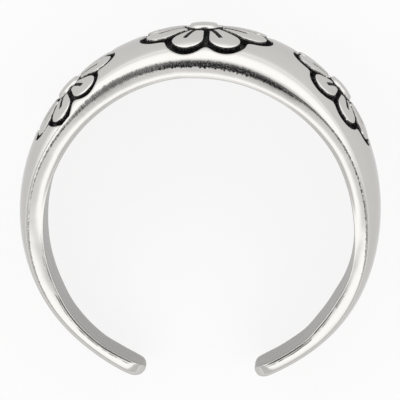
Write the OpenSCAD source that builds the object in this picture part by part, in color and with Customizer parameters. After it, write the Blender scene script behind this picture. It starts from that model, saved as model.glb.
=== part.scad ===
// Open toe ring cast in one piece. A domed band narrows and thins from its top to two rounded ends
// that leave a gap. Three flowers of eight petals stand in relief in dark recesses round the top.
// The ring lies on its side, on the flat of one rim: X runs across the gap, Y points to the middle
// flower, and Z is up. The origin is under the middle of the bounding box.

/* [Opening] */
// inside diameter of the ring
bore_d = 15.1; // [13:0.1:19]
// open gap between the two ends, across the inside
gap = 5.2; // [2:0.1:8]

/* [Band] */
// width of the band at the middle flower
top_width = 7; // [6.4:0.1:8.4]
// width of the band halfway down each side
side_width = 4.7; // [4:0.1:5.6]
// thickness at the crown, under the middle flower
top_thickness = 2.07; // [1.8:0.01:2.6]
// thickness halfway down each side
side_thickness = 1.29; // [1.1:0.01:1.6]
// radius of the dome across the outside of the band
dome_r = 5.4; // [4.8:0.1:8]

/* [Edges] */
// rounding between the dome and each rim
edge_r = 0.45; // [0.2:0.01:0.5]
// bevel between each rim and the inside
inner_bevel = 0.1; // [0.05:0.01:0.15]
// rounding of the corners of each end, seen from outside
end_corner = 0.6; // [0.3:0.05:0.8]
// rounding of each end toward the outside
end_edge = 0.3; // [0.15:0.01:0.4]

/* [Flowers] */
// distance from the middle of the middle flower to a petal tip
petal_tip_r = 3.08; // [2.6:0.02:3.1]
// size of the side flowers beside the middle one
side_flower_scale = 0.9; // [0.8:0.01:1]
// turn of the left flower round the ring
left_turn = -43.3; // [-50:0.1:-40]
// turn of the middle flower round the ring
middle_turn = 2.4; // [-3:0.1:3]
// turn of the right flower round the ring
right_turn = 46.3; // [40:0.1:52]
// shift of the left flower across the band
left_shift = 0.2; // [-0.3:0.05:0.3]
// shift of the middle flower across the band
middle_shift = -0.05; // [-0.3:0.05:0.3]
// shift of the right flower across the band
right_shift = -0.2; // [-0.3:0.05:0.3]
// gap between two petals
petal_gap = 0.2; // [0.1:0.01:0.3]
// rise of the petals over the dome
petal_rise = 0.07; // [0.02:0.01:0.12]
// dark margin round the petals
margin = 0.24; // [0.15:0.01:0.3]
// depth of the recess under the dome
recess_depth = 0.32; // [0.2:0.01:0.4]
// diameter of the button in the middle of each flower
button_d = 1.5; // [1.2:0.05:1.8]
// height of the button over the dome
button_rise = 0.22; // [0.1:0.01:0.4]
// width of the short groove along each petal
groove_w = 0.1; // [0.06:0.01:0.15]
// depth of the short groove along each petal
groove_depth = 0.14; // [0.08:0.01:0.2]

/* [Hidden] */
petals = 8;
bore_r = bore_d / 2;
top_r = bore_r + top_thickness;
side_r = bore_r + side_thickness;
end_angle = 180 - asin(gap / 2 / bore_r);

// the outside is a barrel whose axis is set off toward the middle flower, so the band thins away from it
axis_offset = (top_r * top_r - side_r * side_r) / 2 / top_r;
barrel_r = top_r - axis_offset;
function barrel_at(a) = axis_offset * cos(a) + sqrt(pow(barrel_r, 2) - pow(axis_offset * sin(a), 2));

// each rim is a plane, slanted because the width follows the height on the ring
rim_slope = (top_width - side_width) / 2 / top_r;
rim_tilt = atan(rim_slope);
lift = side_width / 2 * cos(rim_tilt);

// height on the ring where the rounding of the rim has its middle, above (k = 1) and below (k = -1)
round_z0 = side_width / 2 - edge_r / cos(rim_tilt);
function round_y(k, y, n) =
    n == 0 ? y
    : round_y(k, axis_offset + k * (barrel_r - dome_r
        + sqrt(pow(dome_r - edge_r, 2) - pow(round_z0 + rim_slope * y, 2))), n - 1);
round_top = round_y(1, barrel_r, 6) / cos(rim_tilt);
round_bottom = round_y(-1, -barrel_r, 6) / cos(rim_tilt);
round_lean = acos((round_z0 + rim_slope * round_top * cos(rim_tilt)) / (dome_r - edge_r)) - rim_tilt;

ball_r = button_d / 2 * 1.15;
function ball_at(a) = barrel_at(a) + button_rise - ball_r;
// where the ring ends along Y once it lies on its rim
top_y = ball_at(middle_turn) * cos(middle_turn) * cos(rim_tilt) - middle_shift * sin(rim_tilt) + ball_r;
bottom_y = barrel_at(end_angle) * cos(end_angle) * cos(rim_tilt);

half_petal = 180 / petals;
petal_center = (petal_tip_r + petal_gap / 2) / (1 + sin(half_petal));
petal_r = petal_center * sin(half_petal) - petal_gap / 2;
petal_root = button_d / 2 + 0.12;
petal_turns = [for (i = [0:petals - 1]) 360 * i / petals + half_petal];
// a flower follows the dome, so seen from straight outside it is a little narrower across the band
wrap = dome_r * sin(petal_tip_r / dome_r * 180 / PI) / petal_tip_r;
// [turn, shift, size] of each flower
flowers = [
    [left_turn, left_shift, side_flower_scale],
    [middle_turn, middle_shift, 1],
    [right_turn, right_shift, side_flower_scale],
];

// barrel with its surface the given distance over the dome
module barrel(over) {
    reach = top_width * 0.6;
    translate([0, axis_offset, 0]) rotate_extrude($fn = 120) intersection() {
        translate([barrel_r - dome_r, 0]) circle(r = dome_r + over, $fn = 120);
        translate([0, -reach]) square([barrel_r + over + 1, 2 * reach]);
    }
}

// everything on the inner side of the upper rim, with the rounding toward the dome
module under_rim() {
    rq = (round_top - round_bottom) / 2;
    steps = 5;
    cone = 4;
    arc = [for (i = [0:steps]) let (t = round_lean * i / steps)
        [rq + edge_r * sin(t), edge_r * (cos(t) - 1)]];
    far = arc[steps] + cone * [cos(round_lean), -sin(round_lean)];
    translate([0, 0, side_width / 2]) rotate([rim_tilt, 0, 0])
        translate([0, (round_top + round_bottom) / 2, 0]) rotate_extrude($fn = 120)
        polygon(concat([[0, -2 * top_width], [0, 0]], arc, [far, [far[0], -2 * top_width]]));
}

module bore_mouth() {
    start = 0.6;
    translate([0, 0, side_width / 2]) rotate([rim_tilt, 0, 0]) translate([0, 0, -start])
        cylinder(h = start + 0.3, r1 = bore_r + inner_bevel - start, r2 = bore_r + inner_bevel + 0.3, $fn = 120);
}

// gap between the ends, each end rounded toward the outside
module opening_cut() {
    tip = barrel_at(end_angle) - end_edge;
    edge = [for (i = [0:4]) let (t = 90 * i / 4)
        [end_angle - atan(end_edge * (1 - cos(t)) / tip), tip + end_edge * sin(t)]];
    past = edge[4] + [-2, 0.6];
    side = concat([[end_angle, 1]], edge, [past, [180, top_r * 1.6]]);
    ring_side = [for (p = side) [p[1] * sin(p[0]), p[1] * cos(p[0])]];
    linear_extrude(top_width * 2, center = true)
        polygon(concat(ring_side, [for (i = [len(side) - 2:-1:0]) [-ring_side[i][0], ring_side[i][1]]]));
}

// what is taken off round the corners of one end, seen from outside
module end_corners() {
    w = side_width / 2 + rim_slope * bore_r * cos(end_angle);
    for (k = [1, -1]) rotate([0, 0, -k * end_angle]) rotate([-90, 0, 0])
        translate([0, 0, bore_r - 1]) linear_extrude(top_thickness + 2) difference() {
            translate([k > 0 ? -end_corner : -1, -top_width]) square([end_corner + 1, 2 * top_width]);
            polygon(concat(
                [for (i = [0:5]) let (t = 18 * i)
                    [k * end_corner * (sin(t) - 1), w - end_corner * (1 - cos(t))]],
                [for (i = [5:-1:0]) let (t = 18 * i)
                    [k * end_corner * (sin(t) - 1), -w + end_corner * (1 - cos(t))]],
                [[-k * 2 * end_corner, -w], [-k * 2 * end_corner, w]]));
        }
}

module blank() {
    difference() {
        intersection() {
            barrel(0);
            under_rim();
            mirror([0, 0, 1]) under_rim();
        }
        cylinder(h = top_width * 2, r = bore_r, center = true, $fn = 180);
        bore_mouth();
        mirror([0, 0, 1]) bore_mouth();
        opening_cut();
        end_corners();
    }
}

// places a flower drawn flat at its turn and shift, its face outward
module on_band(f) {
    rotate([0, 0, -f[0]]) translate([0, 0, f[1]]) rotate([-90, 0, 0]) children();
}

// turns a point of the flat drawing and narrows it across the band
function turned(p, a) = [p[0] * cos(a) + p[1] * sin(a), (p[1] * cos(a) - p[0] * sin(a)) * wrap];

module petal_outline(s, a) {
    root = petal_root / s;
    outline = concat(
        [for (i = [0:12]) let (t = (90 + half_petal) * (i / 6 - 1))
            [petal_r * sin(t), petal_center + petal_r * cos(t)]],
        [for (k = [1, -1]) [k * (root * tan(half_petal) - petal_gap / 2), root]]);
    polygon([for (p = outline) turned(p * s, a)]);
}

// outline of the recess: one lobe round each petal
module recess_outline(s) {
    lobe = petal_r * s + margin;
    polygon([for (a = petal_turns, j = [-3:3]) let (t = j * 20)
        turned([lobe * sin(t), petal_center * s + lobe * cos(t)], a)]);
}

module groove_outline(s, a) {
    w = groove_w / 2;
    from = petal_root - 0.1;
    to = petal_center * 0.8 * s;
    polygon([for (p = [[-w, from], [w, from], [w, to], [-w, to]]) turned(p, a)]);
}

module recess(f) {
    difference() {
        on_band(f) translate([0, 0, bore_r + 0.4]) linear_extrude(top_thickness + 1) recess_outline(f[2]);
        barrel(-recess_depth);
    }
}

module petals_of(f) {
    difference() {
        intersection() {
            on_band(f) translate([0, 0, bore_r + 0.3]) linear_extrude(top_thickness + 1)
                for (a = petal_turns) petal_outline(f[2], a);
            barrel(petal_rise);
        }
        difference() {
            on_band(f) translate([0, 0, bore_r + 0.5]) linear_extrude(top_thickness + 1)
                for (a = petal_turns) groove_outline(f[2], a);
            barrel(petal_rise - groove_depth);
        }
    }
}

module button(f) {
    on_band(f) translate([0, 0, ball_at(f[0])]) sphere(r = ball_r, $fn = 48);
}

module band() {
    color([0.8, 0.79, 0.77])
    translate([0, -(top_y + bottom_y) / 2, lift]) rotate([rim_tilt, 0, 0]) union() {
        difference() {
            blank();
            for (f = flowers) recess(f);
        }
        for (f = flowers) {
            petals_of(f);
            button(f);
        }
    }
}

band();
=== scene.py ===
"""Looks of an open silver toe ring: one cast band with three flowers in relief, dark in their recesses."""

import json
import math

import bpy
import numpy as np
from mathutils import Matrix, Vector


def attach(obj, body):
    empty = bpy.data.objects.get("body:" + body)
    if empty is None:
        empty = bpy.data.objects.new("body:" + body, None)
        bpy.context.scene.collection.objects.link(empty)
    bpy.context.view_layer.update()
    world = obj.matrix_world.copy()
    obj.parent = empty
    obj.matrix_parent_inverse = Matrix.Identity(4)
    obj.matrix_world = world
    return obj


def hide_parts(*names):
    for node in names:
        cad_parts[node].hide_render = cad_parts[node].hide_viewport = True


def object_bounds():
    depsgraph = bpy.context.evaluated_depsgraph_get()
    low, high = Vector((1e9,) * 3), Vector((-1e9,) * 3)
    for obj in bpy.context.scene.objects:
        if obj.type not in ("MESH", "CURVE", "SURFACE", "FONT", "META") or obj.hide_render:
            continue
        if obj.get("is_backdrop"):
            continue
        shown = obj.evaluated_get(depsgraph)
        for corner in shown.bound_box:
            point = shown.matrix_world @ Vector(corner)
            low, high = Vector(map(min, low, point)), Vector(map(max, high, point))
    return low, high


MM = 0.001

# Sizes in millimetres, the same as the solid's. Angles round the ring start at its top, toward +X.
BORE_R = 7.55
GAP = 5.2
TOP_WIDTH, SIDE_WIDTH = 7.0, 4.7
TOP_THICKNESS, SIDE_THICKNESS = 2.07, 1.29
DOME_R = 5.4
PETALS = 8
PETAL_TIP_R = 3.08
RECESS_DEPTH = 0.32
BUTTON_D, BUTTON_RISE = 1.5, 0.22
GROOVE_DEPTH = 0.14

# Sizes of the softer forms, which only the scene has.
EDGE_R = (0.36, 0.13)  # the tightest arc of the bend, (at the top, on the arms)
EDGE_END = math.radians(14)  # lean of the surface at the end of that arc
INNER_BEVEL = (0.045, 0.05)  # (at the top, on the lower arms)
# Roundings of each end: length along the arm and depth, at the corners, toward the outside and the inside.
END_CORNER, END_EDGE, END_INNER = (0.9, 0.9), (0.62, 0.36), (0.3, 0.27)
PETAL_GAP = 0.3
GROOVE_W, GROOVE_REACH = 0.12375, 0.98  # half width, and how far it runs to the middle of the petal's tip
CUSP_FILL = 0.34  # how much the cusps between the lobes of a recess are filled
SQUASH = 0.922  # a flower is lower across the band than along it
BUTTON_FOOT, ROOT_GAP = 0.82, 0.13  # radius of the button's foot, and from it to the petals
BUTTON_BALL = 1.15  # radius of the solid's button is this much of half its width
LIP_WIDTH = 0.06  # of one painted shade line along the inner lip
# Each flower: turn round the ring, shift across it, size, dark margin, rise of petals, rise of button,
# button off centre.
FLOWERS = (
    (-43.6, 0.15, 0.9, 0.27, 0.0, 0.1, 0.0),
    (2.4, -0.07, 1.0, 0.345, 0.08, 0.22, -0.17),
    (46.3, -0.2, 0.9, 0.31, 0.09, 0.24, 0.0),
)

# Seen in the photograph, by the angle round the ring: thickness at the crown, how far the inside is off
# its circle, and how far the upper rim is off its plane.
THICKNESS = (
    (-160, 0.69), (-150, 0.72), (-140, 0.755), (-125, 0.89), (-108, 1.06), (-90, 1.22), (-75, 1.39),
    (-65, 1.46), (-55, 1.60), (-43, 1.72), (-33, 1.83), (-25, 1.88), (-12, 1.98), (0, 2.08), (12, 2.09),
    (25, 2.05), (40, 1.94), (50, 1.86), (60, 1.75), (70, 1.56), (80, 1.36), (90, 1.18), (100, 1.16),
    (110, 1.17), (118, 1.12), (126, 0.97), (140, 0.83), (150, 0.77), (160, 0.71),
)
THICKNESS_DEGREE = 12
INSIDE = (
    (-160, 0.0), (-150, 0.0), (-140, 0.07), (-125, 0.09), (-115, 0.04), (-105, 0.03), (-88, -0.015),
    (-65, -0.07), (-40, -0.08), (-20, -0.05), (-8, -0.015), (2, -0.045), (25, -0.045), (50, -0.025),
    (60, -0.015), (72, -0.05), (80, -0.055), (90, -0.025), (100, 0.065), (107, 0.11), (112, 0.1),
    (120, 0.025), (130, 0.015), (137, 0.05), (145, 0.0), (160, -0.03),
)
RIM_LINE = (
    (-160, -0.58), (-140, -0.57), (-120, -0.55), (-108, -0.51), (-98, -0.435), (-88, -0.365), (-79, -0.335),
    (-71, -0.325), (-63, -0.32), (-56, -0.30), (-46, -0.285), (-37, -0.30), (-29, -0.34), (-22, -0.365),
    (-16, -0.36), (-10, -0.34), (-5, -0.295), (1, -0.245), (6, -0.19), (12, -0.12), (17, -0.04), (24, 0.05),
    (30, 0.12), (38, 0.18), (47, 0.195), (57, 0.185), (64, 0.17), (71, 0.16), (79, 0.15), (87, 0.125),
    (95, 0.06), (104, -0.025), (120, -0.10), (160, -0.13),
)
# The dome turns into the rim through a wide shoulder and a tighter bend, which ends at the lean BEND_END.
SHOULDER_R = (
    (-75, 0.37), (-60, 0.66), (-50, 0.82), (-40, 0.9), (-32, 1.0), (-25, 1.25), (-12, 1.6), (0, 1.8),
    (12, 1.85), (25, 1.75), (32, 1.55), (40, 1.24), (50, 0.88), (60, 0.6), (75, 0.35), (90, 0.3),
)
BEND_R = (
    (-90, 0.2), (-75, 0.25), (-60, 0.4), (-50, 0.55), (-40, 0.68), (-25, 0.68), (-12, 0.75), (0, 0.78),
    (12, 0.8), (22, 0.62), (32, 0.4), (40, 0.27), (50, 0.22), (60, 0.2),
)
BEND_END = ((-75, 27), (-40, 29), (-12, 31), (12, 31), (25, 29), (40, 25.5), (60, 25.5), (90, 27))
# Each rim is rounded: how far it leans in at its inner edge, how late that sets in, how far it leans out.
LEAN_IN = (
    (-155, 0), (-135, 1), (-120, 2), (-105, 9), (-90, 21), (-75, 30), (-45, 29), (0, 18), (45, 25), (75, 30),
    (90, 20), (105, 5), (120, 1), (140, 4), (155, 2),
)
LEAN_BEND = (
    (-120, 2.0), (-105, 1.7), (-90, 1.5), (-75, 2.0), (-45, 2.5), (0, 3.2), (45, 2.7), (75, 1.9), (90, 1.4),
    (105, 1.6), (120, 2.0),
)
LEAN_OUT = (
    (-140, 10), (-115, 9), (-103, 5), (-85, 0), (80, 0), (92, 4), (107, 15), (118, 15), (140, 13),
)
LOW_RIM_BACK = 0.3  # the lower rim lies back by this much of the slope at which it leans out
# Darkness along the crease between rim and dome, partly tarnish and partly a painted dark reflection: how
# dark, how wide. Painted shade along the inner lip: how dark.
CREASE_DARKNESS = (
    (-122, 0), (-108, 0.5), (-90, 0.5), (-70, 0.6), (-60, 0.8), (-40, 0.75), (-25, 0.68), (-12, 0.9),
    (0, 1.05), (25, 1.05), (32, 0.95), (38, 0.7), (46, 0.5), (56, 0.8), (70, 0.75), (85, 0.7), (100, 0.4),
    (112, 0),
)
CREASE_DARK_WIDTH = (
    (-75, 0.07), (-60, 0.1), (-50, 0.12), (-40, 0.23), (-12, 0.3), (0, 0.31), (12, 0.32), (25, 0.21),
    (32, 0.15), (40, 0.08), (60, 0.09), (90, 0.09),
)
LIP_SHADE = (
    (-158, 0), (-150, 0.8), (-130, 0.85), (-114, 0.7), (-100, 0.3), (-88, 0), (106, 0), (118, 0.6),
    (135, 0.85), (150, 0.85), (158, 0),
)
# A thin dark line where the dome begins on the left arm: how dark, and (radians, fade) at its two ends.
THIN_LINE, THIN_LINE_FROM, THIN_LINE_TO = 0.21, (-1.5, 0.2), (-0.75, 0.1)

# How the section's roundings fit a thin rim.
LEAST_RIM = 0.05  # thickness that is always left at the rim
BEVEL_SHARE = 0.3  # share of the rim that the bevel may take
EDGE_SHARE = 0.7  # share of the bend's radius that the edge's may have
EDGE_TAKES, SHOULDER_TAKES, BEND_TAKES = 0.8, 0.5, 0.3  # share of each radius that comes off the rim
ROUND_FIT = 1.4  # roundings shrink once they take more than this times the rim
LEAST_EDGE = 0.05  # least turn of the edge, in radians
SEATINGS = 8  # rounds that seat the roundings between rim and dome
ARM_COS = 0.22  # cosine of the angle where the edge has its radius for the arms
BLEND_COS = (0.13, -0.19)  # cosines between which along_arm goes from its first value to its second

# Soft forms of the relief, each as depth and width.
RECESS_LIP = (0.03, 0.09)  # the dome sinks toward a recess
PETAL_CROWN, PETAL_EDGE = (0.045, 0.6), (0.025, 0.07)  # a petal falls toward its outline, and more at it
BUTTON_CROWN = 0.13  # the button falls by this to its foot
BUTTON_SIDE = (0.4, 0.72)  # and by this, from this share of its radius on
BUTTON_DARK = (0.86, 0.1)  # share of its radius where the button turns dark, and over how much
FLOWER_ROOM = 3.8  # points this far from a flower's middle are looked at
SAME_SIDE = 0.5  # cosine of the turn from a flower within which points are looked at
BESIDE_FLOWER = 0.12  # the relief ends this far outside the dark margin
SNAP = 0.52  # share of a cell within which a point moves onto an outline
SMALL_STEP = 1e-4  # step that measures the slope of a distance
STEEP = (0.2, 4)  # squared slopes of a distance that can be trusted
GROOVE_INSIDE = 0.03  # a groove is only drawn this far inside its petal

TOP_R = BORE_R + TOP_THICKNESS
SIDE_R = BORE_R + SIDE_THICKNESS
END_ANGLE = math.pi - math.asin(GAP / 2 / BORE_R)
AXIS_OFFSET = (TOP_R**2 - SIDE_R**2) / 2 / TOP_R
BARREL_R = TOP_R - AXIS_OFFSET
RIM_SLOPE = (TOP_WIDTH - SIDE_WIDTH) / 2 / TOP_R
TILT = math.atan(RIM_SLOPE)
LIFT = SIDE_WIDTH / 2 * math.cos(TILT)
BALL_R = BUTTON_D / 2 * BUTTON_BALL
HALF_PETAL = math.pi / PETALS
PETAL_CENTER = (PETAL_TIP_R + PETAL_GAP / 2) / (1 + math.sin(HALF_PETAL))
PETAL_R = PETAL_CENTER * math.sin(HALF_PETAL) - PETAL_GAP / 2
WRAP = SQUASH * DOME_R * math.sin(PETAL_TIP_R / DOME_R) / PETAL_TIP_R

# Photographer's place: elevation over the bore axis toward the flowers, turn to the right, distance.
VIEW_UP, VIEW_RIGHT, VIEW_DISTANCE = math.radians(10.0), math.radians(1.7), 255.0
PIXELS_PER_MM = 20.5
IMAGE_SIDE = 400.0
RING_AT = (199.9, 221.5)  # where the middle of the bore falls in the 400 x 400 image

CELL, CELL_DEPTH = 0.05, 0.2  # spacing of the grid over the flowers, and how deep it is measured
FLOWER_REACH = math.radians(66.5)  # the fine grid goes this far round from the top
ARM_COLUMNS, END_COLUMNS = 46, 11
INNER_ROWS, BEVEL_ROWS, RIM_ROWS, EDGE_ROWS, OUTSIDE_ROWS = 4, 4, 7, 4, 120
SHARP = math.radians(38)
FLOW_R = 9.0  # radius at which the flow map measures along the ring

# Silver: colours and roughness. A pair of colours or numbers gives the two ends of a range.
POLISHED = (0.555, 0.543, 0.522, 1), (0.595, 0.583, 0.562, 1)
# The inside's colour is darker than the outside's: partly brushed silver, partly painted shade inside the
# band.
BRUSHED_AND_SHADED = (0.27, 0.262, 0.248, 1), (0.37, 0.36, 0.342, 1)
BLACK = (0.012, 0.012, 0.013, 1)
GLANCING = (0.82, 0.82, 0.82, 1)
ROUGH, ROUGH_CLOUD, ROUGH_INSIDE, ROUGH_BLACK = 0.1, 0.06, 0.15, 0.4
SPECULAR, SPECULAR_BLACK, METAL_BLACK = 0.5, 0.38, 0.95  # the last two are taken off by the black
BUMP_HEIGHT, SCRATCHES, BRUSH_MARKS, GRIT = 0.004, 0.25, 0.6, 3.0
# Black of the recesses: how uneven its side is, where it sets in, its paler flecks, and where they set in.
BLACK_UNEVEN, BLACK_FROM, FLECKS, FLECKS_FROM = 0.12, (0.1, 0.25), 0.16, (0.56, 0.66)
# Crease darkness (tarnish and a painted dark reflection), as shares of its width: how ragged it is and where
# it runs, at start and end.
CREASE_RAGGED, CREASE_START, CREASE_END = (1.6, 0.8), (-0.1, 0.04), (0.85, 1.15)
CREASE_LEVEL, CREASE_FALL = 1.25, 0.45  # strength at the crease, and what it loses to the far side
SPECKLE, SPECKLE_FROM = 0.45, (0.38, 0.5)
GAPS, GAPS_FROM, GAPS_UNDER = 0.6, (0.4, 0.56), (0.8, 0.95)  # the last is how weak the crease's darkness is where gaps show
# The two painted shade lines along the inner lip: where each starts and ends, by LIP_WIDTH, and where it
# breaks.
LIP_FIRST, LIP_FIRST_BREAKS = ((-0.2, 0.2), (0.8, 1.2)), (0.3, 0.5)
LIP_SECOND, LIP_SECOND_BREAKS, LIP_WANDER = ((1.4, 1.7), (2.1, 2.5)), (0.36, 0.58), 1.5

# Camera, floor and light.
SENSOR, CLIP = 36, (0.01, 10)
FLOOR_SIDE = 0.6
FLOOR_TONES = (0.14, 0.14, 0.14, 1), (0.16, 0.16, 0.16, 1)
FLOOR_ROUGH, FLOOR_SPECULAR = 0.9, 0.1
# The floor glows less near the ring, a painted shade round it: base glow, the glow added away from the ring,
# and the distances over which that rises.
FLOOR_GLOW, FLOOR_GLOW_PAST_SHADE, FLOOR_SHADE_REACH = 0.84, 0.36, (0.015, 0.07)
SKY_LOW = 0.85  # light from low down behind
SKY_AHEAD = (0.37, 0.87)  # how much more comes from ahead, at the horizon and above it
AHEAD_FROM, ABOVE_FROM = (-0.3, 0.3), (0.0, 0.3)
# Light from round the opening overhead: strength within each angle from its middle, with a soft side.
SKY_RINGS = ((56, 64, 1.72), (40, 45.5, 1.04), (31, 35, 0.03))
OPENING_LEAN, OPENING_X = math.radians(7), 0.03


# ---------- the band without its flowers ----------


def barrel(phi):
    """Radius of the solid's outside along the middle of the band."""
    return AXIS_OFFSET * np.cos(phi) + np.sqrt(BARREL_R**2 - (AXIS_OFFSET * np.sin(phi)) ** 2)


def law(table, degree):
    """Smooth curve through (degrees, value) pairs, by the angle in radians."""
    angles, values = zip(*table)
    return np.polynomial.chebyshev.Chebyshev.fit(np.radians(angles), values, degree)


def curve(phi, table):
    """Cubic through (degrees, value) pairs that doesn't overshoot them, by the angle in radians."""
    x, y = np.radians([p[0] for p in table]), np.array([p[1] for p in table], float)
    step, rise = np.diff(x), np.diff(y) / np.diff(x)
    slope = np.zeros_like(y)
    both = rise[1:] * rise[:-1]
    slope[1:-1] = np.where(both > 0, 2 * both / np.where(both > 0, rise[1:] + rise[:-1], 1), 0)
    k = np.clip(np.searchsorted(x, phi) - 1, 0, len(x) - 2)
    t, h = np.clip((phi - x[k]) / step[k], 0, 1), step[k]
    return (y[k] * (1 + 2 * t) + slope[k] * h * t) * (1 - t) ** 2 + \
        (y[k + 1] * (3 - 2 * t) - slope[k + 1] * h * (1 - t)) * t**2


CROWN_LAW = law(THICKNESS, THICKNESS_DEGREE)


def crown(phi):
    """Radius of the outside along the middle of the band."""
    return BORE_R + CROWN_LAW(phi)


def smooth(t):
    """0 under 0, 1 over 1, smooth between."""
    t = np.clip(t, 0, 1)
    return t * t * (3 - 2 * t)


def drawn_in(s, rounding):
    """How far a rounding draws the surface in, at arc length s from the tip."""
    length, depth = rounding
    return depth * (1 - np.sqrt(1 - (1 - np.clip(s / length, 0, 1)) ** 2))


def middle_y():
    """Middle of the solid along Y once it lies on its rim."""
    turn, shift = FLOWERS[1][:2]
    turn = math.radians(turn)
    ball = float(barrel(turn)) + BUTTON_RISE - BALL_R
    top = ball * math.cos(turn) * math.cos(TILT) - shift * math.sin(TILT) + BALL_R
    bottom = float(barrel(END_ANGLE)) * math.cos(END_ANGLE) * math.cos(TILT)
    return (top + bottom) / 2


MIDDLE_Y = middle_y()


def to_row(p):
    """Ring-local millimetres (Y to the flowers, Z along the bore) to metres in the row's frame."""
    x, y, z = p[..., 0], p[..., 1], p[..., 2]
    c, s = math.cos(TILT), math.sin(TILT)
    return np.stack([x, y * c - z * s - MIDDLE_Y, y * s + z * c + LIFT], -1) * MM


def stations():
    """Angles of the sections: fine over the flowers, even on the arms, close at the rounded ends."""
    fine = CELL / (TOP_R - CELL_DEPTH)
    tip = END_CORNER[0] / BORE_R
    flowers = np.linspace(-FLOWER_REACH, FLOWER_REACH, int(2 * FLOWER_REACH / fine) + 1)
    arm = np.linspace(FLOWER_REACH, END_ANGLE - tip, ARM_COLUMNS + 1)[1:]
    end = END_ANGLE - tip * (1 - np.sin(np.linspace(0, math.pi / 2, END_COLUMNS + 1)[1:]))
    side = np.concatenate([arm, end])
    return np.concatenate([-side[::-1], flowers, side])


def along_arm(phi, values):
    """Blends the values for the top and the lower arms."""
    start, end = BLEND_COS
    return values[0] + (values[1] - values[0]) * smooth((start - np.cos(phi)) / (start - end))


def rounding_radii(phi, room):
    """Radii of the shoulder, the bend and the edge, smaller where the rim has little room."""
    shoulder, bend = curve(phi, SHOULDER_R), curve(phi, BEND_R)
    thick = smooth((np.cos(phi) - ARM_COS) / (1 - ARM_COS))
    edge = np.minimum(EDGE_R[1] + (EDGE_R[0] - EDGE_R[1]) * thick, EDGE_SHARE * bend)
    fit = np.minimum(1, ROUND_FIT * room / (SHOULDER_TAKES * shoulder + BEND_TAKES * bend))
    return shoulder * fit, bend * fit, edge * fit


def seat_roundings(phi, top, base, slant, rim_end, radii):
    """Seats shoulder, bend and edge between the dome and the rim. Gives the rim's end, the middle (r, z) and
    radius of each with the leans between which it runs, and the lean where the dome takes over."""
    shoulder, bend, edge = radii
    slope = slant - np.tan(np.radians(curve(phi, LEAN_OUT)))
    bend_end = np.radians(curve(phi, BEND_END))
    start, length = -np.arctan(slope), np.sqrt(1 + slope * slope)
    edge_end = np.maximum(EDGE_END, start + LEAST_EDGE)
    c, reach = top - DOME_R, DOME_R - shoulder
    for _ in range(SEATINGS):
        level = base + (slant - slope) * rim_end - edge * length
        steps = sum(g * (np.cos(a) - slope * np.sin(a))
                    for g, a in ((shoulder - bend, bend_end), (bend - edge, edge_end)))
        lean = np.arccos((level + slope * c - steps) / reach / length) - np.arctan(slope)
        r2, z2 = c + reach * np.sin(lean), reach * np.cos(lean)
        rb, zb = r2 + (shoulder - bend) * np.sin(bend_end), z2 + (shoulder - bend) * np.cos(bend_end)
        rq, zq = rb + (bend - edge) * np.sin(edge_end), zb + (bend - edge) * np.cos(edge_end)
        rim_end = rq + edge * np.sin(start)
    edge_arc, bend_arc = (rq, zq, edge, start, edge_end), (rb, zb, bend, edge_end, bend_end)
    return rim_end, edge_arc, bend_arc, (r2, z2, shoulder, lean)


def half_section(phi, line):
    """Rows (r, z) from the middle of the inside over one rim to the end of its bend, the dome's middle, and
    the shoulder: its middle (r, z), radius and the lift of the normal where the dome takes over."""
    s = (END_ANGLE - np.abs(phi)) * BORE_R
    top = crown(phi) - drawn_in(s, END_EDGE)
    base = SIDE_WIDTH / 2 - drawn_in(s, END_CORNER) + line
    inner = BORE_R + curve(phi, INSIDE) + drawn_in(s, END_INNER)
    slant = RIM_SLOPE * np.cos(phi)
    z_rim = base + slant * top
    rim = np.maximum(top - DOME_R + np.sqrt(DOME_R**2 - z_rim**2) - inner, LEAST_RIM)
    bevel = np.minimum(along_arm(phi, INNER_BEVEL), BEVEL_SHARE * rim)
    radii = rounding_radii(phi, rim - bevel)
    r0, guess = inner + bevel, inner + rim - EDGE_TAKES * radii[2]
    r1, *arcs, (r2, z2, shoulder, lean) = seat_roundings(phi, top, base, slant, guess, radii)
    lean_in, lean_out = (np.tan(np.radians(curve(phi, v))) for v in (LEAN_IN, LEAN_OUT))
    late = curve(phi, LEAN_BEND)

    def rim_z(r):
        """Height of the rim at radius r."""
        wide = r1 - r0
        t = (r1 - r) / wide
        return base + slant * r - wide * (lean_in * t ** (late + 1) / (late + 1) - lean_out * (t - t * t / 2))

    z_in = rim_z(r0) - bevel
    rows = [(inner, z_in * t) for t in np.linspace(0, 1, INNER_ROWS)[:-1]]
    for t in np.linspace(0, math.pi / 2, BEVEL_ROWS):
        rows.append((inner + bevel * (1 - math.cos(t)), z_in + bevel * math.sin(t)))
    for t in np.linspace(0, 1, RIM_ROWS + 1)[1:-1]:
        r = r0 + (r1 - r0) * t
        rows.append((r, rim_z(r)))
    for (r, z, radius, start, end), last in zip(arcs, (-1, None)):
        for t in np.linspace(0, 1, EDGE_ROWS + 1)[:last]:
            a = start + (end - start) * t
            rows.append((r + radius * np.sin(a), z + radius * np.cos(a)))
    r, z = (np.stack([row[i] + 0 * phi for row in rows], -1) for i in (0, 1))
    return r, z, top - DOME_R, np.stack([r2, z2, shoulder, math.pi / 2 - lean])


def outside_at(t, part):
    """Radius and height of the plain outside where its normal is lifted by t."""
    r, z = part[0] + DOME_R * np.cos(t), DOME_R * np.sin(t)
    for sign, (r2, z2, shoulder, join) in ((1, part[1:5]), (-1, part[5:9])):
        past = sign * t > join
        r = np.where(past, r2 + shoulder * np.cos(t), r)
        z = np.where(past, sign * z2 + shoulder * np.sin(t), z)
    return r, z


def lift_at(z, part):
    """Lift of the normal of the plain outside at height z."""
    t = np.arcsin(np.clip(z / DOME_R, -1, 1))
    for sign, (_, z2, shoulder, join) in ((1, part[1:5]), (-1, part[5:9])):
        bend = np.arcsin(np.clip((sign * z - z2) / shoulder, -1, 1))
        t = np.where(sign * z > DOME_R * np.sin(join), sign * bend, t)
    return t


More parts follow.
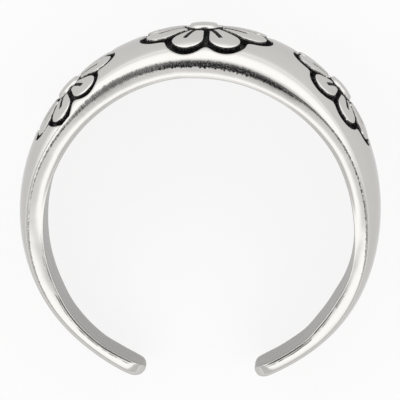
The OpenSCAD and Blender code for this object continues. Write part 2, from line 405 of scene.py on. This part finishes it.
def outside_lifts(phi, part):
    """Lifts of the normal at evenly spaced rows from one edge over the dome to the other."""
    end = math.pi / 2 - np.radians(curve(phi, BEND_END))[:, None]
    up_r, up_join, low_r, low_join = (q[:, None] for q in (part[3], part[4], part[7], part[8]))
    up, over, low = up_r * (end - up_join), DOME_R * (up_join + low_join), low_r * (end - low_join)
    s = np.linspace(0, 1, OUTSIDE_ROWS + 2)[1:-1] * (up + over + low)
    t = np.where(s < up, end - s / up_r, up_join - (s - up) / DOME_R)
    return np.where(s > up + over, -low_join - (s - up - over) / low_r, t)


# ---------- the flowers ----------
# A point of a flower's flat drawing is (x, y). Each outline below is called with the same values, used or
# not: the point, the flower's size, its dark margin and how far its button is off centre.


def in_petal(x, y):
    """Place along and across the petal whose sector holds the point."""
    a = np.mod(np.arctan2(x, y), 2 * HALF_PETAL) - HALF_PETAL
    rad = np.hypot(x, y)
    return rad * np.cos(a), rad * np.sin(a)


def petal_distance(x, y, size, margin, off):
    """Distance outside the outline of the nearest petal: a round tip with two straight sides."""
    along, across = in_petal(x, y)
    across = np.abs(across)
    past = along - PETAL_CENTER * size
    sin, cos = math.sin(HALF_PETAL), math.cos(HALF_PETAL)
    tip = np.hypot(across, past) - PETAL_R * size
    side = across * cos - along * sin + PETAL_GAP / 2 * size
    d = np.where(across * sin + past * cos > 0, tip, side)
    return np.maximum(d, ROOT_GAP - button_distance(x, y, size, margin, off))


def recess_distance(x, y, size, margin, off):
    """Distance outside the outline of the recess: a lobe round each petal, the cusps between them filled."""
    along, across = in_petal(x, y)
    place, r = PETAL_CENTER * size, PETAL_R * size + margin
    sin, cos = math.sin(2 * HALF_PETAL), math.cos(2 * HALF_PETAL)
    lobe = np.hypot(across, along - place) - r
    beside = np.hypot(np.abs(across) - place * sin, along - place * cos) - r
    fill = CUSP_FILL * size
    lobe = lobe - np.maximum(fill - np.abs(beside - lobe), 0) ** 2 / (4 * fill)
    return np.minimum(lobe, np.hypot(x, y) - PETAL_CENTER * size * math.cos(HALF_PETAL))


def groove_distance(x, y, size, margin, off):
    """Distance to the line of the groove, large beyond its ends."""
    along, across = in_petal(x - off, y)
    on = (along > BUTTON_FOOT) & (along < PETAL_CENTER * GROOVE_REACH * size)
    return np.where(on, across, PETAL_TIP_R * 3)


def button_distance(x, y, size, margin, off):
    """Distance outside the foot of the button, which is round on the ring itself."""
    return np.hypot(x - off, y * WRAP) - BUTTON_FOOT


OUTLINES = (petal_distance, recess_distance, button_distance, groove_distance)
PETAL, RECESS, BUTTON, GROOVE = 1, 2, 3, 4


def fall(distance, form):
    """How far a soft form has fallen at a distance from its outline."""
    depth, width = form
    return depth * (1 - np.clip(distance / width, 0, 1)) ** 2


def relief(x, y, flower, on):
    """Height over the dome and darkness at points of a flower; on says which outline a point lies on."""
    turn, _, size, margin, petal_rise, button_rise, off = flower
    petal, recess, button, groove = (outline(x, y, size, margin, off) for outline in OUTLINES)

    depth = np.clip(-petal, 0, None)
    cut = np.clip(1 - np.abs(groove) / GROOVE_W, 0, 1)
    top = petal_rise - fall(depth, PETAL_CROWN) - fall(depth, PETAL_EDGE) - GROOVE_DEPTH * cut
    out = button / BUTTON_FOOT + 1
    side, side_from = BUTTON_SIDE
    drop = (x - off) ** 2 / 2 / crown(math.radians(turn)) + (y * WRAP) ** 2 / 2 / DOME_R
    ball = button_rise - BUTTON_CROWN * out**2 + drop
    ball = ball - side * np.clip((out - side_from) / (1 - side_from), 0, 1) ** 2

    height = np.where(recess < 0, -RECESS_DEPTH, -fall(recess, RECESS_LIP))
    dark = np.where(recess < 0, 1.0, 0.0)
    is_petal = ((petal < 0) & (on != RECESS)) | (on == PETAL) | (on == GROOVE)
    height = np.where(is_petal, top, height)
    dark = np.where(is_petal, cut, dark)
    is_ball = ((button < 0) & (on == 0)) | (on == BUTTON)
    height = np.where(is_ball, ball, height)
    dark = np.where(is_ball, smooth((out - BUTTON_DARK[0]) / BUTTON_DARK[1]), dark)
    height = np.where(on == RECESS, -RECESS_LIP[0], height)
    dark = np.where(on == RECESS, 0.0, dark)
    return height, dark


def flat_place(p, t, here, turn, shift):
    """Points (x, y) of a flower's flat drawing at the angles p and lifts t."""
    r, z = outside_at(t, here)
    return r * np.sin(p - turn), (z - shift) / WRAP


def snap_to_outlines(p, t, here, flower, cell_x, cell_y):
    """Moves the points near an outline of the flower onto it; gives angles, lifts and which outline it is."""
    turn, (shift, size, margin), off = math.radians(flower[0]), flower[1:4], flower[6]
    on = np.zeros(p.shape, int)
    for kind, outline in enumerate(OUTLINES, 1):
        x, y = flat_place(p, t, here, turn, shift)
        d, e = outline(x, y, size, margin, off), SMALL_STEP
        gx = (outline(x + e, y, size, margin, off) - d) / e
        gy = (outline(x, y + e, size, margin, off) - d) / e
        g2 = gx * gx + gy * gy
        reach = SNAP * np.maximum(np.abs(gx) * cell_x, np.abs(gy) * cell_y)
        hit = (np.abs(d) < reach) & (on == 0) & (g2 > STEEP[0]) & (g2 < STEEP[1])
        if outline is groove_distance:
            hit &= petal_distance(x, y, size, margin, off) < -GROOVE_INSIDE
        g2 = np.where(hit, g2, 1)
        x, y = np.where(hit, x - d * gx / g2, x), np.where(hit, y - d * gy / g2, y)
        t = np.where(hit, lift_at(y * WRAP + shift, here), t)
        p = np.where(hit, turn + np.arcsin(x / outside_at(t, here)[0]), p)
        on[hit] = kind
    return p, t, on


def put_flowers(phi, lifts, part):
    """Moves grid points onto the flowers' outlines; gives the height over the dome and darkness of each."""
    height, dark = np.zeros_like(phi), np.zeros_like(phi)
    radius, z = outside_at(lifts, part[:, :, None])
    step = np.median(np.diff(phi[:, 0]))
    row_y = np.abs(np.gradient(z, axis=1)) / WRAP
    for flower in FLOWERS:
        turn, (shift, size, margin) = math.radians(flower[0]), flower[1:4]
        away = np.hypot(radius * np.sin(phi - turn), (z - shift) / WRAP)
        near = (away < FLOWER_ROOM) & (np.cos(phi - turn) > SAME_SIDE)
        here = part[:, np.nonzero(near)[0]]
        p, t, on = snap_to_outlines(phi[near], lifts[near], here, flower, step * radius[near], row_y[near])
        x, y = flat_place(p, t, here, turn, shift)
        phi[near], lifts[near] = p, t
        rise, shade = relief(x, y, flower, on)
        far = np.hypot(x, y) > PETAL_TIP_R * size + margin + BESIDE_FLOWER
        height[near] = np.where(far, height[near], rise)
        dark[near] = np.where(far, dark[near], shade)
    return height, dark


# ---------- mesh ----------


def material_layers(phi, all_phi, r, z, dark, first_outside):
    """Maps that the material reads: darkness, the crease's tarnish and painted dark reflection, the inner lip
    with its painted shade, the inside, and a flow map.
    """
    line = smooth((phi - THIN_LINE_FROM[0]) / THIN_LINE_FROM[1])
    dark[:, first_outside] = THIN_LINE * line * smooth((THIN_LINE_TO[0] - phi) / THIN_LINE_TO[1])
    zero = np.zeros_like(r)
    girth = np.concatenate([zero[:, :1], np.cumsum(np.hypot(np.diff(r), np.diff(z)), 1)], 1)
    lip_row = INNER_ROWS + BEVEL_ROWS - 2
    first = lip_row + RIM_ROWS
    last = girth.shape[1] - first
    past_rim = np.minimum(girth - girth[:, first:first + 1], girth[:, last:last + 1] - girth)
    middle = girth[:, first_outside + OUTSIDE_ROWS // 2][:, None]
    inside = zero.copy()
    inside[:, :INNER_ROWS] = 1
    inside[:, 1 - INNER_ROWS:] = 1
    return {
        "dark": dark,
        "crease": past_rim / curve(phi, CREASE_DARK_WIDTH)[:, None],
        "tarnish_and_dark_reflection": zero + curve(phi, CREASE_DARKNESS)[:, None],
        "lip": (girth - girth[:, lip_row][:, None]) / LIP_WIDTH,
        "lip_shade_strength": zero + curve(phi, LIP_SHADE)[:, None],
        "inside": inside,
        "flow": np.stack([all_phi * FLOW_R, girth - middle, zero], -1),
    }


def ring_grid():
    """Points (stations, rows, 3) of the closed section along the ring, the material's maps, relief height."""
    phi = stations()
    r, z, c, upper = half_section(phi, curve(phi, RIM_LINE))
    low_line = -LOW_RIM_BACK * np.tan(np.radians(curve(phi, LEAN_OUT)))
    low_r, low_z, _, lower = half_section(phi, low_line)
    part = np.concatenate([c[None], upper, lower])
    lifts = outside_lifts(phi, part)
    col = np.repeat(phi[:, None], OUTSIDE_ROWS, 1)
    height, dark = put_flowers(col, lifts, part)
    out_r, out_z = outside_at(lifts, part[:, :, None])
    out_r, out_z = out_r + height * np.cos(lifts), out_z + height * np.sin(lifts)
    all_r = np.concatenate([r, out_r, low_r[:, :0:-1]], 1)
    all_z = np.concatenate([z, out_z, -low_z[:, :0:-1]], 1)
    all_phi = np.repeat(phi[:, None], all_r.shape[1], 1)
    k = r.shape[1]
    lift, shade = np.zeros_like(all_r), np.zeros_like(all_r)
    for whole, over in ((all_phi, col), (lift, height), (shade, dark)):
        whole[:, k:k + OUTSIDE_ROWS] = over
    points = np.stack([all_r * np.sin(all_phi), all_r * np.cos(all_phi), all_z], -1)
    return points, material_layers(phi, all_phi, all_r, all_z, shade, k), lift


def ring_faces(n, m, lift):
    """Faces of the tube of n stations and m rows. A four-sided cell of the relief is split along its
    level side."""
    i, j = np.meshgrid(np.arange(n - 1), np.arange(m), indexing="ij")
    k = (j + 1) % m
    a, b, c, d = i * m + j, (i + 1) * m + j, (i + 1) * m + k, i * m + k
    la, lb, lc, ld = (lift.reshape(-1)[q] for q in (a, b, c, d))
    carved = (np.abs(la) + np.abs(lb) + np.abs(lc) + np.abs(ld)) > 1e-9
    ac = np.abs(la - lc) <= np.abs(lb - ld)
    faces = np.stack([a, b, c, d], -1)[~carved].tolist()
    one, two = carved & ac, carved & ~ac
    for mask, tris in ((one, ((a, b, c), (a, c, d))), (two, ((a, b, d), (b, c, d)))):
        for tri in tris:
            faces += np.stack(tri, -1)[mask].tolist()
    return faces


def cap_faces(base, m, z, flip):
    """Faces of one end: a strip between the row over the outside and the row along the inside."""
    inner_n = INNER_ROWS + 1
    outer = list(range(inner_n - 1, m - inner_n + 2))
    inner = list(range(inner_n - 1, -1, -1)) + list(range(m - 1, m - inner_n, -1))
    p, q, faces = 0, 0, []
    while p < len(outer) - 1 or q < len(inner) - 1:
        take = q == len(inner) - 1 or (p < len(outer) - 1 and z[outer[p + 1]] > z[inner[q + 1]])
        nxt = outer[p + 1] if take else inner[q + 1]
        tri = (outer[p], nxt, inner[q])
        if len(set(tri)) == 3:
            faces.append([base + t for t in (tri[::-1] if flip else tri)])
        p, q = (p + 1, q) if take else (p, q + 1)
    return faces


def make_ring():
    """The whole ring as one closed mesh."""
    points, layers, lift = ring_grid()
    n, m = lift.shape
    faces = ring_faces(n, m, lift)
    faces += cap_faces(0, m, points[0, :, 2], True)
    faces += cap_faces((n - 1) * m, m, points[-1, :, 2], False)
    mesh = bpy.data.meshes.new("ring")
    mesh.from_pydata(to_row(points).reshape(-1, 3).tolist(), [], faces)
    for name, data in layers.items():
        kind, field = ("FLOAT_VECTOR", "vector") if name == "flow" else ("FLOAT", "value")
        layer = mesh.attributes.new(name, kind, "POINT")
        layer.data.foreach_set(field, data.reshape(-1).astype(np.float32))
    mesh.validate()
    mesh.shade_smooth()
    mesh.set_sharp_from_angle(angle=SHARP)
    ring = bpy.data.objects.new("ring", mesh)
    bpy.context.scene.collection.objects.link(ring)
    return ring


# ---------- nodes ----------


class Nodes:
    """Short way to write a node tree."""

    def __init__(self, tree):
        self.tree = tree
        tree.nodes.clear()

    def add(self, kind, **settings):
        node = self.tree.nodes.new("ShaderNode" + kind)
        for key, value in settings.items():
            setattr(node, key, value)
        return node

    def layer(self, name, output="Fac"):
        """A map of the mesh."""
        return self.add("Attribute", attribute_name=name).outputs[output]

    def join(self, value, socket):
        """Links an output to the socket, or sets the socket to a plain value."""
        if isinstance(value, bpy.types.NodeSocket):
            self.tree.links.new(value, socket)
        else:
            socket.default_value = value

    def math(self, operation, *values):
        node = self.add("Math", operation=operation)
        for value, socket in zip(values, node.inputs):
            self.join(value, socket)
        return node.outputs[0]

    def times(self, value, *others):
        for other in others:
            value = self.math("MULTIPLY", value, other)
        return value

    def plus(self, value, *others):
        for other in others:
            value = self.math("ADD", value, other)
        return value

    def minus(self, a, b):
        return self.math("SUBTRACT", a, b)

    def inverse(self, value):
        """1 where the value is 0, and 0 where it is 1."""
        return self.minus(1.0, value)

    def most(self, a, b):
        return self.math("MAXIMUM", a, b)

    def step(self, value, low, high):
        """0 under low, 1 over high, smooth between."""
        node = self.add("MapRange", interpolation_type="SMOOTHSTEP")
        for v, name in ((value, "Value"), (low, "From Min"), (high, "From Max")):
            self.join(v, node.inputs[name])
        return node.outputs["Result"]

    def blend(self, factor, a, b):
        """Mix of two numbers."""
        node = self.add("Mix", data_type="FLOAT")
        for value, socket in zip((factor, a, b), (node.inputs[0], node.inputs[2], node.inputs[3])):
            self.join(value, socket)
        return node.outputs[0]

    def noise(self, vector, scale=1.0, stretch=(1, 1, 1), detail=2.0):
        """Noise from 0 to 1 over a place; stretch squeezes it along each axis."""
        mapping = self.add("Mapping")
        self.join(vector, mapping.inputs["Vector"])
        mapping.inputs["Scale"].default_value = stretch
        node = self.add("TexNoise")
        self.join(mapping.outputs[0], node.inputs["Vector"])
        node.inputs["Scale"].default_value = scale
        node.inputs["Detail"].default_value = detail
        return node.outputs["Fac"]

    def uneven(self, vector, scale=1.0, stretch=(1, 1, 1), detail=2.0):
        """Noise round zero."""
        return self.minus(self.noise(vector, scale, stretch, detail), 0.5)

    def mix(self, factor, a, b):
        """Mix of two colours."""
        node = self.add("Mix", data_type="RGBA")
        for value, name in ((factor, "Factor"), (a, "A"), (b, "B")):
            socket = [s for s in node.inputs if s.name == name and s.enabled][0]
            self.join(value, socket)
        return [s for s in node.outputs if s.enabled][0]


# ---------- silver ----------


def crease_tarnish_and_painted_reflection(n, flow):
    """Speckled darkness along the crease, partly tarnish and partly a painted dark reflection, with ragged
    sides, broken on the arms; and its grit for the bump.
    """
    crease, crease_dark_strength = n.layer("crease"), n.layer("tarnish_and_dark_reflection")
    ragged = n.uneven(flow, stretch=(8.0, 1.5, 1.0), detail=3.0)
    start = n.step(n.plus(crease, n.times(ragged, CREASE_RAGGED[0])), *CREASE_START)
    end = n.step(n.plus(crease, n.times(ragged, CREASE_RAGGED[1])), *CREASE_END)
    band = n.times(start, n.inverse(end))
    speckle = n.step(n.noise(flow, 14.0, detail=1.0), *SPECKLE_FROM)
    tarnish_and_dark_reflection = n.times(crease_dark_strength, band, n.plus(n.times(speckle, SPECKLE), 1 - SPECKLE))
    gaps = n.inverse(n.step(n.noise(flow, stretch=(5.0, 1.0, 1.0), detail=3.0), *GAPS_FROM))
    on_arms = n.inverse(n.step(crease_dark_strength, *GAPS_UNDER))
    tarnish_and_dark_reflection = n.times(tarnish_and_dark_reflection, n.inverse(n.times(gaps, on_arms, GAPS)))
    outward = n.times(n.most(crease, 0.0), CREASE_FALL)
    tarnish_and_dark_reflection = n.math("MINIMUM", n.times(tarnish_and_dark_reflection, n.minus(CREASE_LEVEL, outward)), 1.0)
    return tarnish_and_dark_reflection, n.times(ragged, band, crease_dark_strength, GRIT)


def line_between(n, value, sides):
    """1 between two soft sides, 0 outside them."""
    start, end = sides
    return n.times(n.step(value, *start), n.inverse(n.step(value, *end)))


def lip_shade_lines(n, flow):
    """Two thin dark lines of painted shade along the inner lip, the outer one wandering, both broken here and
    there.
    """
    lip = n.layer("lip")
    aside = n.plus(lip, n.times(n.uneven(flow, stretch=(1.2, 0.2, 1.0)), LIP_WANDER))
    unbroken = n.step(n.noise(flow, stretch=(0.9, 0.3, 1.0), detail=3.0), *LIP_FIRST_BREAKS)
    first = n.times(line_between(n, lip, LIP_FIRST), unbroken)
    unbroken = n.step(n.noise(flow, stretch=(1.4, 0.2, 1.0), detail=4.0), *LIP_SECOND_BREAKS)
    second = n.times(line_between(n, aside, LIP_SECOND), unbroken)
    return n.times(n.most(first, second), n.layer("lip_shade_strength"))


def patina_shade_and_grit(n, flow):
    """Black of the recesses with a few paler flecks, the crease's tarnish and painted dark reflection, the
    painted shade along the inner lip, and the grit for the bump.
    """
    uneven = n.times(n.uneven(flow, 9.0, detail=4.0), BLACK_UNEVEN)
    black = n.step(n.plus(n.layer("dark"), uneven), *BLACK_FROM)
    flecks = n.step(n.noise(flow, 12.0, detail=1.0), *FLECKS_FROM)
    black = n.times(black, n.inverse(n.times(flecks, FLECKS)))
    tarnish_and_dark_reflection, grit = crease_tarnish_and_painted_reflection(n, flow)
    return n.most(black, n.most(tarnish_and_dark_reflection, lip_shade_lines(n, flow))), grit


def silver():
    """Polished silver with fine scratches; brushed inside, where its darker colour is partly a painted shade;
    black where the patina is; tarnish with a painted dark reflection along the crease, and painted shade
    along the inner lip.
    """
    material = bpy.data.materials.new("silver")
    material.use_nodes = True
    n = Nodes(material.node_tree)
    flow, inside = n.layer("flow", "Vector"), n.layer("inside")
    patina_and_painted_shade, grit = patina_shade_and_grit(n, flow)

    cloud = n.noise(flow, 0.5)
    brushed = n.noise(flow, stretch=(30.0, 1.5, 1.0), detail=3.0)
    metal = n.mix(inside, n.mix(cloud, *POLISHED), n.mix(brushed, *BRUSHED_AND_SHADED))
    rough = n.plus(n.times(cloud, ROUGH_CLOUD), ROUGH, n.times(inside, ROUGH_INSIDE))
    scratch = n.noise(flow, stretch=(2.0, 45.0, 1.0), detail=3.0)
    lines = n.plus(n.times(scratch, SCRATCHES), n.times(brushed, inside, BRUSH_MARKS))
    bump = n.add("Bump")
    bump.inputs["Strength"].default_value = 1.0
    bump.inputs["Distance"].default_value = BUMP_HEIGHT * MM
    n.join(n.plus(lines, n.noise(flow, 0.9, detail=1.0), grit), bump.inputs["Height"])

    shader = n.add("BsdfPrincipled")
    shader.inputs["Specular Tint"].default_value = GLANCING
    for value, name in (
        (n.mix(patina_and_painted_shade, metal, BLACK), "Base Color"),
        (n.inverse(n.times(patina_and_painted_shade, METAL_BLACK)), "Metallic"),
        (n.plus(rough, n.times(patina_and_painted_shade, ROUGH_BLACK)), "Roughness"),
        (n.minus(SPECULAR, n.times(patina_and_painted_shade, SPECULAR_BLACK)), "Specular IOR Level"),
        (bump.outputs[0], "Normal"),
    ):
        n.join(value, shader.inputs[name])
    n.join(shader.outputs[0], n.add("OutputMaterial").inputs["Surface"])
    return material


# ---------- camera, floor and light ----------


def add_camera():
    """Camera on the photographer's line of sight."""
    out = Vector((math.sin(VIEW_RIGHT), math.cos(VIEW_RIGHT) * math.sin(VIEW_UP),
                  math.cos(VIEW_RIGHT) * math.cos(VIEW_UP)))
    out = Matrix.Rotation(TILT, 3, "X") @ out
    up = (Vector((0, 1, 0)) - out * out.y).normalized()
    right = up.cross(out)
    bore = Vector(to_row(np.zeros(3)))
    half = IMAGE_SIDE / 2
    aim_x, aim_y = (half - RING_AT[0]) / PIXELS_PER_MM, (RING_AT[1] - half) / PIXELS_PER_MM
    camera = bpy.data.cameras.new("camera")
    camera.sensor_width = SENSOR
    camera.lens = camera.sensor_width * VIEW_DISTANCE / (IMAGE_SIDE / PIXELS_PER_MM)
    camera.clip_start, camera.clip_end = CLIP
    place = bpy.data.objects.new("camera", camera)
    at = bore + (out * VIEW_DISTANCE + right * aim_x + up * aim_y) * MM
    place.matrix_world = Matrix.Translation(at) @ Matrix((right, up, out)).transposed().to_4x4()
    bpy.context.scene.collection.objects.link(place)
    bpy.context.scene.camera = place


def add_floor():
    """Back-lit pale acrylic, brighter away from the ring; its dimmer glow near the ring is a painted shade.
    """
    mesh = bpy.data.meshes.new("floor")
    corners = [(x * FLOOR_SIDE, y * FLOOR_SIDE, 0) for x, y in ((-1, -1), (1, -1), (1, 1), (-1, 1))]
    mesh.from_pydata(corners, [], [(0, 1, 2, 3)])
    floor = bpy.data.objects.new("floor", mesh)
    bpy.context.scene.collection.objects.link(floor)
    material = bpy.data.materials.new("floor")
    material.use_nodes = True
    n = Nodes(material.node_tree)
    shader = n.add("BsdfPrincipled")
    place = n.add("TexCoord").outputs["Object"]
    length = n.add("VectorMath", operation="LENGTH")
    n.join(place, length.inputs[0])
    # The glow rises away from the ring; its lower level near the ring is a painted shade.
    far = n.step(length.outputs["Value"], *FLOOR_SHADE_REACH)
    n.join(n.mix(n.noise(place, 40.0), *FLOOR_TONES), shader.inputs["Base Color"])
    shader.inputs["Emission Color"].default_value = (1, 1, 1, 1)
    n.join(n.plus(FLOOR_GLOW, n.times(far, FLOOR_GLOW_PAST_SHADE)), shader.inputs["Emission Strength"])
    shader.inputs["Roughness"].default_value = FLOOR_ROUGH
    shader.inputs["Specular IOR Level"].default_value = FLOOR_SPECULAR
    n.join(shader.outputs[0], n.add("OutputMaterial").inputs["Surface"])
    mesh.materials.append(material)
    floor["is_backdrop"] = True


def add_world():
    """Pale studio, brighter ahead and in rings round a dark opening overhead, where the camera is."""
    world = bpy.data.worlds.new("studio")
    world.use_nodes = True
    n = Nodes(world.node_tree)
    direction = n.add("TexCoord").outputs["Generated"]
    opening = n.add("VectorMath", operation="DOT_PRODUCT")
    n.join(direction, opening.inputs[0])
    opening.inputs[1].default_value = (OPENING_X, math.sin(OPENING_LEAN), math.cos(OPENING_LEAN))
    near = opening.outputs["Value"]
    axes = n.add("SeparateXYZ")
    n.join(direction, axes.inputs[0])
    ahead = n.step(axes.outputs["Y"], *AHEAD_FROM)
    above = n.step(axes.outputs["Z"], *ABOVE_FROM)
    level = n.plus(SKY_LOW, n.times(ahead, n.blend(above, *SKY_AHEAD)))
    for inner, outer, strength in SKY_RINGS:
        within = n.step(near, math.cos(math.radians(outer)), math.cos(math.radians(inner)))
        level = n.blend(within, level, strength)
    back = n.add("Background")
    back.inputs["Color"].default_value = (1, 1, 1, 1)
    n.join(level, back.inputs["Strength"])
    n.join(back.outputs[0], n.add("OutputWorld").inputs["Surface"])
    bpy.context.scene.world = world


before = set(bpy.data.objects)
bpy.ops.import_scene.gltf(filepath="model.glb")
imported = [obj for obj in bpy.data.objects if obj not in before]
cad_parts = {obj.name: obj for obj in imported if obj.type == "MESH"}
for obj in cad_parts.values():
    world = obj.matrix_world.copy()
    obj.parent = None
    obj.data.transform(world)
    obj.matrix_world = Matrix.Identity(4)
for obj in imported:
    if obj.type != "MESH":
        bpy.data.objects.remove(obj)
cad_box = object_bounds()
add_camera()
ring = make_ring()
ring.data.materials.append(silver())
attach(ring, "root")
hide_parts("band")
add_floor()
add_world()
bpy.context.scene.view_settings.view_transform = "Standard"

plain = [[[float(v) for v in corner] for corner in box] for box in (cad_box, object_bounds())]
"\n".join(json.dumps(box) for box in plain) + "\n"
